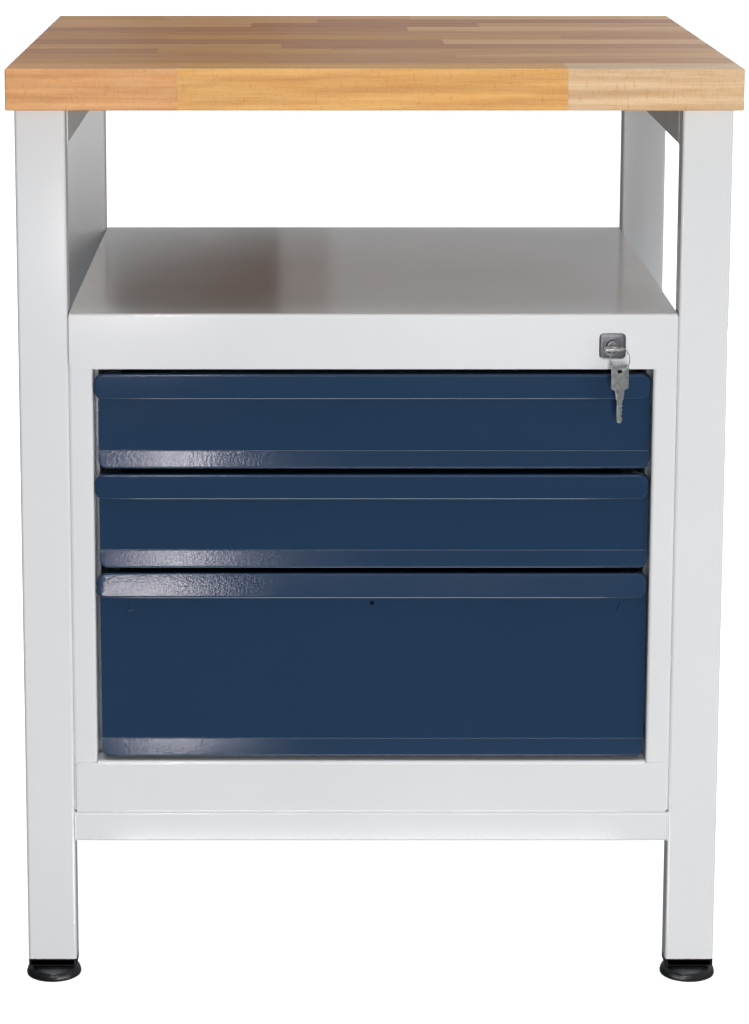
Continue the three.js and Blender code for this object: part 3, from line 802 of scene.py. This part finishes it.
def make_drawer_fronts():
    """A folded sheet for each drawer, with a return at each end of its face."""
    for number in "123":
        lo, hi = mm_box(f"drawer_front_{number}")
        lean = TALL_LIP_LEAN if number == "3" else 0.0
        body = f"drawer_{number}"
        made = folded_sheet(f"drawer_front_{number}_sheet", front_columns(lo, hi, lean), "x", SHEET, BLUE,
                            body)
        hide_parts(f"drawer_front_{number}")
        for side, sign in (("left", -1), ("right", 1)):
            edge = -LIP_SHIFT + sign * (HALF_FRONT - 0.2)
            x0, x1 = sorted((edge, edge - sign * SHEET))
            y0 = lo.y + RECESS + SHEET
            loop = [(x0, y0), (x1, y0), (x1, hi.y), (x0, hi.y)]
            prism(f"front_return_{number}_{side}", loop, "z", (lo.z + 18, hi.z - 10), BLUE, body,
                  0.3)
        if number == "3":
            dress_tall_front(lo.y + RECESS, body)


def dress_tall_front(face, body):
    """Two small lanced tabs on the tall front's face, and a near-black disc over its hole that paints the
    shade inside the hole.
    """
    for tag, x in TAB_PLACES.items():
        loop = [(x - TAB_HALF_WIDTH, TAB_BOTTOM), (x + TAB_HALF_WIDTH, TAB_BOTTOM), (x + 0.3, TAB_TOP)]
        prism(f"front_tab_{tag}", loop, "y", (face - 1.2, face + 0.3), BLUE, body, 0.7)
    # The hole is not cut: a near-black disc on the face gives its painted shade.
    shade_disc = [(0, 0.1), (2.1, 0.1), (2.2, 0.0), (2.2, -0.4), (0, -0.4)]
    turned("front_hole_shade_disc", shade_disc, (0, face, HOLE_HEIGHT), PAINTED_HOLE_SHADE, body, "black_plastic", (0, -1, 0), 24)


def make_trays():
    """A folded hem along the upper edge of each tray."""
    for number in "123":
        lo, hi = mm_box(f"drawer_tray_{number}")
        half, front, back = abs(lo.x), lo.y, hi.y
        bm = bmesh.new()
        w = SHEET - 0.05
        v = w + HEM_THICKNESS
        outer = rounded_loop(-half + w, front + w, half - w, back - w, 1.0, 3)
        inner = rounded_loop(-half + v, front + v, half - v, back - v, 0.8, 3)
        low, high = hi.z - HEM_DEPTH, hi.z + 0.2
        rings = [
            [bm.verts.new(placed("z", a, b, c)) for a, b in loop]
            for loop, c in ((outer, low), (outer, high), (inner, high), (inner, low))
        ]
        skin(bm, rings + rings[:1])
        face_outwards(bm)
        made = object_from(f"tray_hem_{number}", bm, BLUE, f"drawer_{number}")
        bevel(made, 0.5, 3, 50)
        weighted(made)


# ---------------------------------------------------------------- lock and keys


def as_mesh(made):
    """A copy of an object's mesh with its modifiers applied."""
    bpy.context.view_layer.update()
    return bpy.data.meshes.new_from_object(made.evaluated_get(bpy.context.evaluated_depsgraph_get()))


def key_shape(name, outline, hole_radius, body, place):
    """A flat key cut from sheet: a filled outline with a round hole and softened edges."""
    curve = bpy.data.curves.new(name, "CURVE")
    curve.dimensions = "2D"
    curve.fill_mode = "BOTH"
    curve.extrude = (KEY_THICKNESS / 2 - KEY_EDGE) * MM
    curve.bevel_depth = KEY_EDGE * MM
    curve.bevel_resolution = 2
    curve.offset = -KEY_EDGE * MM
    hole = arc((0, KEY_HOLE), hole_radius, 0, 360 - 360 / 28, 27)[::-1]
    for loop in (outline, hole):
        spline = curve.splines.new("POLY")
        spline.points.add(len(loop) - 1)
        for point, (x, y) in zip(spline.points, loop):
            point.co = (x * MM, y * MM, 0, 1)
        spline.use_cyclic_u = True
    holder = linked(name + "_curve", curve)
    mesh = as_mesh(holder)
    bpy.data.objects.remove(holder)
    bm = bmesh.new()
    bm.from_mesh(mesh)
    bmesh.ops.remove_doubles(bm, verts=bm.verts, dist=1e-6)
    face_outwards(bm)
    bmesh.ops.transform(bm, matrix=place, verts=bm.verts)
    bpy.data.meshes.remove(mesh)
    return object_from(name, bm, KEY_METAL, body, 50)


def key_outline(bow_length, neck_length, blade_length):
    """Outline of a small flat key, its bow from y = 0 and its blade along +Y, cut on the right only."""
    bow, neck, neck_end, blade = 9.0, 4.8, 3.7, 2.8
    start = bow_length + neck_length
    tip = start + blade_length
    shoulder = [
        (bow - 1.2, 0), (bow - 0.35, 0.35), (bow, 1.2), (bow, bow_length - 2), (bow - 0.6, bow_length - 0.6),
        (bow - 2, bow_length), (neck, bow_length + 0.4), (neck_end, start - 0.5), (blade, start),
    ]
    end = [(blade, tip - 2), (0.8, tip)]
    cuts = []
    y = start + 2
    for deep in itertools.cycle((0.7, 1.1, 0.8, 1.2, 0.6, 1.0)):
        if y + 3 >= tip - 2:
            break
        cuts += [(blade, y), (blade - deep, y + 1.2), (blade - deep, y + 1.8), (blade, y + 3)]
        y += 4
    return shoulder + cuts + end + [(-x, y) for x, y in reversed(shoulder + end)]


def make_keys():
    """The key in the lock, the split ring and the spare key that hangs from it."""
    lock_lo, lock_hi = mm_box("lock_core")
    lock = (lock_lo + lock_hi) / 2
    key_lo, _ = mm_box("key")
    place = Matrix.Translation(Vector((lock.x, key_lo.y, lock.z)) * MM)
    fitted = key_shape("fitted_key", key_outline(15, 2, 21), 3.0, "lock_cylinder", place)
    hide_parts("key")
    make_split_ring()

    spare_lo, spare_hi = mm_box("spare_key")
    hang = Vector(((spare_lo.x + spare_hi.x) / 2, (spare_lo.y + spare_hi.y) / 2, spare_hi.z))
    place = (Matrix.Translation(hang * MM) @ Matrix.Rotation(math.radians(18), 4, "Z")
             @ Matrix.Rotation(math.radians(-90), 4, "X"))
    spare = key_shape("hanging_key", key_outline(24.3, 10.5, 22.5), 2.7, "spare_key", place)
    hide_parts("spare_key")


def make_split_ring(wire=0.5, radius=10.85, turns=1.85, steps=150, sides=10):
    """Almost two turns of flattened wire."""
    ring_lo, ring_hi = mm_box("key_ring")
    middle = (ring_lo + ring_hi) / 2
    along, up = Vector((0.8, -0.6, 0)), Vector((0, 0, 1))
    side = along.cross(up)
    bm = bmesh.new()
    rings = []
    for i in range(steps + 1):
        turn = 2 * math.pi * turns * i / steps
        out = along * math.cos(turn) + up * math.sin(turn)
        centre = middle + out * radius + side * (i / steps - 0.5) * 0.55
        rings.append([
            bm.verts.new((centre + (out * math.cos(t) + side * math.sin(t) * 0.62) * wire) * MM)
            for t in (2 * math.pi * k / sides for k in range(sides))
        ])
    skin(bm, rings)
    bm.faces.new(rings[0])
    bm.faces.new(rings[-1])
    face_outwards(bm)
    split_ring = object_from("split_ring", bm, KEY_METAL, "key_ring", 60)
    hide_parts("key_ring")


def cut_keyway(core, centre, front):
    """A slot through the core that the key fits."""
    slot = bmesh.new()
    box = bmesh.ops.create_cube(slot, size=1.0)["verts"]
    place = Matrix.Translation(Vector((centre.x, front + 9, centre.z)) * MM)
    size = Matrix.Diagonal((6.6 * MM, 20 * MM, 2.8 * MM, 1))
    bmesh.ops.transform(slot, matrix=place @ size, verts=box)
    cutter = linked("keyway", mesh_from("keyway", slot))
    cut = core.modifiers.new("keyway", "BOOLEAN")
    cut.object = cutter
    cut.solver = "EXACT"
    whole = as_mesh(core)
    core.modifiers.clear()
    core.data = whole
    bpy.data.objects.remove(cutter)


def make_lock():
    """The core with its keyway, the plate as a shallow pillow with a collar, and the barrel behind."""
    lo, hi = mm_box("lock_core")
    centre = (lo + hi) / 2
    depth = hi.y - lo.y
    profile = [(0, 0.4), (2.2, 0.4), (3.6, 0.2), (4.6, 0.0), (5.4, 0.2), (5.9, 0.8), (6.0, 1.6)]
    profile += [(6.0, depth), (0, depth)]
    core = turned("lock_plug", profile, (centre.x, lo.y, centre.z), LOCK_METAL, "lock_cylinder", "lock_metal",
                  (0, 1, 0), 40)
    cut_keyway(core, centre, lo.y)
    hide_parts("lock_core")

    plate_lo, plate_hi = mm_box("lock_housing")
    half = (plate_hi.x - plate_lo.x) / 2
    count = 48
    turns = [2 * math.pi * (i + 0.5) / count for i in range(count)]
    bm = bmesh.new()

    def ring(reaches, height):
        return [
            bm.verts.new(Vector((
                centre.x + reach * math.cos(turn), FRAME_FRONT - height, centre.z + reach * math.sin(turn),
            )) * MM)
            for turn, reach in zip(turns, reaches)
        ]

    outline = [
        half
        / (abs(math.cos(turn)) ** CORNER_POWER + abs(math.sin(turn)) ** CORNER_POWER) ** (1 / CORNER_POWER)
        for turn in turns
    ]
    rings = []
    for scale, height in ((1.0, 0.3), (1.0, 1.4), (0.97, 2.2), (0.9, 2.7), (0.8, 2.9)):
        rings.append(ring([scale * reach for reach in outline], height))
    for radius, height in ((9.2, 3.0), (9.0, 3.6), (8.2, 4.0), (7.2, 4.0), (6.5, 3.5), (6.45, 0.3)):
        rings.append(ring([radius] * count, height))
    skin(bm, rings + rings[:1])
    face_outwards(bm)
    plate = object_from("lock_plate", bm, LOCK_METAL, "frame", 50)
    wall = [(6.5, 0), (9, 0), (9, BARREL_DEPTH), (6.5, BARREL_DEPTH), (6.5, 0)]
    turned("lock_barrel", wall, (centre.x, plate_hi.y - BARREL_DEPTH, centre.z), LOCK_METAL, "frame",
           "lock_metal", (0, 1, 0), 32)
    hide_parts("lock_housing")


# ---------------------------------------------------------------- carried-over nodes


def dress_nodes():
    """Finish for the CAD pieces that keep their shape."""
    finishes = {
        "slide_": (ZINC, "zinc_steel", 0.3), "lock_cam": (ZINC, "zinc_steel", 0.3),
        "lock_bar": (ZINC, "zinc_steel", 0.4), "foot_insert": (BLACK, "black_plastic", 0.5),
        "cabinet_back": (GREY, "grey_paint", 0.3), "drawer_tray": (BLUE, "blue_paint", 0.3),
    }
    for name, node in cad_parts.items():
        if node.hide_render:
            continue
        for prefix, (material, slot, edge) in finishes.items():
            if name.startswith(prefix):
                node.data.materials.clear()
                node.data.materials.append(material)
                weld = node.modifiers.new("weld", "WELD")
                weld.merge_threshold = 1e-6
                bevel(node, edge, 2, 40)


# ---------------------------------------------------------------- camera, floor and light


def make_camera():
    data = bpy.data.cameras.new("camera")
    data.lens = CAMERA["lens"]
    data.sensor_width = 36
    data.shift_x, data.shift_y = CAMERA["shift"]
    data.clip_start, data.clip_end = 0.05, 200
    made = linked("camera", data)
    made.location = CAMERA["place"]
    made.rotation_euler = (math.radians(90 - CAMERA["pitch"]), 0, 0)
    SCENE.camera = made


def stage_object(name, bm, cover, hidden, **surface):
    """A piece of the studio with an even surface, hidden from the given kinds of ray."""
    made = linked(name, mesh_from(name, bm))
    nodes = Nodes(cover)
    nodes.set(**surface)
    made.data.materials.append(nodes.material)
    for ray in hidden:
        setattr(made, f"visible_{ray}", False)


def make_floor():
    bm = bmesh.new()
    bmesh.ops.create_circle(bm, cap_ends=True, radius=FLOOR_RADIUS, segments=64)
    stage_object("floor", bm, "studio_floor", ("glossy", "diffuse"), Base_Color=(0.86, 0.86, 0.87, 1),
                 Roughness=0.9, Emission_Color=PAPER_WHITE, Emission_Strength=0.75)


def make_backdrop():
    """A white dome that only the camera sees, so that every side view has a plain pale background."""
    bm = bmesh.new()
    bmesh.ops.create_uvsphere(bm, u_segments=48, v_segments=24, radius=DOME_RADIUS)
    stage_object("backdrop", bm, "backdrop_white", ("diffuse", "glossy", "shadow"), Base_Color=(0, 0, 0, 1),
                 Emission_Color=PAPER_WHITE, Emission_Strength=1.0)


def make_world():
    """Studio walls by direction: a dark band at mid height, darker to the left, brightest overhead."""
    world = bpy.data.worlds.new("studio")
    SCENE.world = world
    world.use_nodes = True
    tree = world.node_tree
    sky = tree.nodes["Background"]
    direction = tree.nodes.new("ShaderNodeTexCoord")
    parts = tree.nodes.new("ShaderNodeSeparateXYZ")
    tree.links.new(direction.outputs["Generated"], parts.inputs[0])

    def ramp(part, *stops):
        node = tree.nodes.new("ShaderNodeValToRGB")
        shifted = tree.nodes.new("ShaderNodeMapRange")
        shifted.inputs["From Min"].default_value = -1
        tree.links.new(parts.outputs[part], shifted.inputs["Value"])
        tree.links.new(shifted.outputs["Result"], node.inputs["Fac"])
        while len(node.color_ramp.elements) < len(stops):
            node.color_ramp.elements.new(0.5)
        for element, (place, value) in zip(node.color_ramp.elements, stops):
            element.position = (place + 1) / 2
            element.color = (value, value, value, 1)
        return node.outputs["Color"]

    depth = ramp("Y", (-0.6, FRONT_WALL), (0.1, BACK_WALL))
    height = ramp("Z", (-0.85, FLOOR_GLOW), (-0.5, DARK_BAND), (0.085, DARK_BAND), (0.135, 1.0), (0.3, 0.9),
                  (0.84, 0.6), (0.95, OVERHEAD))
    side = ramp("X", (-1.0, 0.15), (-0.25, 0.95), (1.0, 1.25))
    strength = depth
    for factor in (height, side):
        product = tree.nodes.new("ShaderNodeMath")
        product.operation = "MULTIPLY"
        tree.links.new(strength, product.inputs[0])
        tree.links.new(factor, product.inputs[1])
        strength = product.outputs["Value"]
    tree.links.new(strength, sky.inputs["Strength"])
    sky.inputs["Color"].default_value = COOL_WHITE


def softbox(name, place, aim, size, power, colour=(1, 1, 1), diffuse=True, glossy=True):
    """A rectangular lamp aimed at a point."""
    data = bpy.data.lights.new(name, "AREA")
    data.shape = "RECTANGLE"
    data.size, data.size_y = size
    data.energy = power
    data.color = colour
    made = linked(name, data)
    made.location = place
    made.rotation_euler = (Vector(aim) - Vector(place)).to_track_quat("-Z", "Y").to_euler()
    made.visible_diffuse = diffuse
    made.visible_glossy = glossy
    made.visible_camera = False


def make_lights():
    """Lamps that light the bench, and lamps that only show as gleams on the drawers' folds."""
    softbox("front_key", (0.3, -3.6, 0.62), (0, 0, 0.4), (0.5, 1.2), 65, WARM_WHITE, glossy=False)
    softbox("fill_right", (2.2, -2.7, 0.5), (0, 0, 0.3), (1.4, 1.4), 20, WARM_WHITE, glossy=False)
    softbox("back_light", (1.4, 2.8, 2.2), (0, 0, 0.5), (1.4, 1.4), 10)
    softbox("back_fill", (0.9, 3.4, 0.4), (0, 0, 0.3), (1.4, 0.8), 34, WARM_WHITE, glossy=False)
    gleams = [
        ("strip_gleam", (-0.285, -1.62, 2.0), (-0.2, -0.29, 0.5), (0.05, 0.62), 4.4, LILAC),
        ("fold_gleam", (0, -2.6, 1.04), (0, -0.29, 0.45), (1.3, 0.36), 10, BLUISH),
        ("edge_gleam", (0, -0.5, 0.02), (0, -0.36, 0.5), (0.54, 0.18), 2.2, BLUISH),
        ("lip_gleam", (-0.33, -2.29, 0.455), (-0.22, -0.29, 0.4), (0.16, 0.1), 1.9, ROSY),
    ]
    for gleam in gleams:
        softbox(*gleam, diffuse=False)


def make_flag(name, corners, glow):
    """A studio flag behind the bench that only shows in reflections."""
    bm = bmesh.new()
    bm.faces.new([bm.verts.new((x, FLAG_DEPTH, z)) for x, z in corners])
    stage_object(name, bm, f"{name}_cloth", ("camera", "diffuse", "shadow"), Base_Color=(0.02, 0.02, 0.02, 1),
                 Roughness=1.0, Specular_IOR_Level=0.0, Emission_Color=PAPER_WHITE, Emission_Strength=glow)


def make_flags():
    """Two flags that give the shelf its darker patch."""
    make_flag("dark_flag", [(-0.40, 0.98), (-0.113, 0.9), (-0.113, 1.5), (-0.30, 1.5)], 0.0)
    make_flag("half_flag", [(-0.113, 0.9), (-0.03, 0.9), (-0.03, 1.5), (-0.113, 1.5)], 0.27)


SCENE.view_settings.view_transform = "Standard"
make_camera()
make_world()
make_floor()
make_backdrop()
make_lights()
make_flags()
make_worktop()
make_frame()
make_feet()
make_cabinet_top()
make_cabinet_bottom()
make_cabinet_sides()
make_back_rivets()
make_drawer_fronts()
make_trays()
make_lock()
make_keys()
dress_nodes()
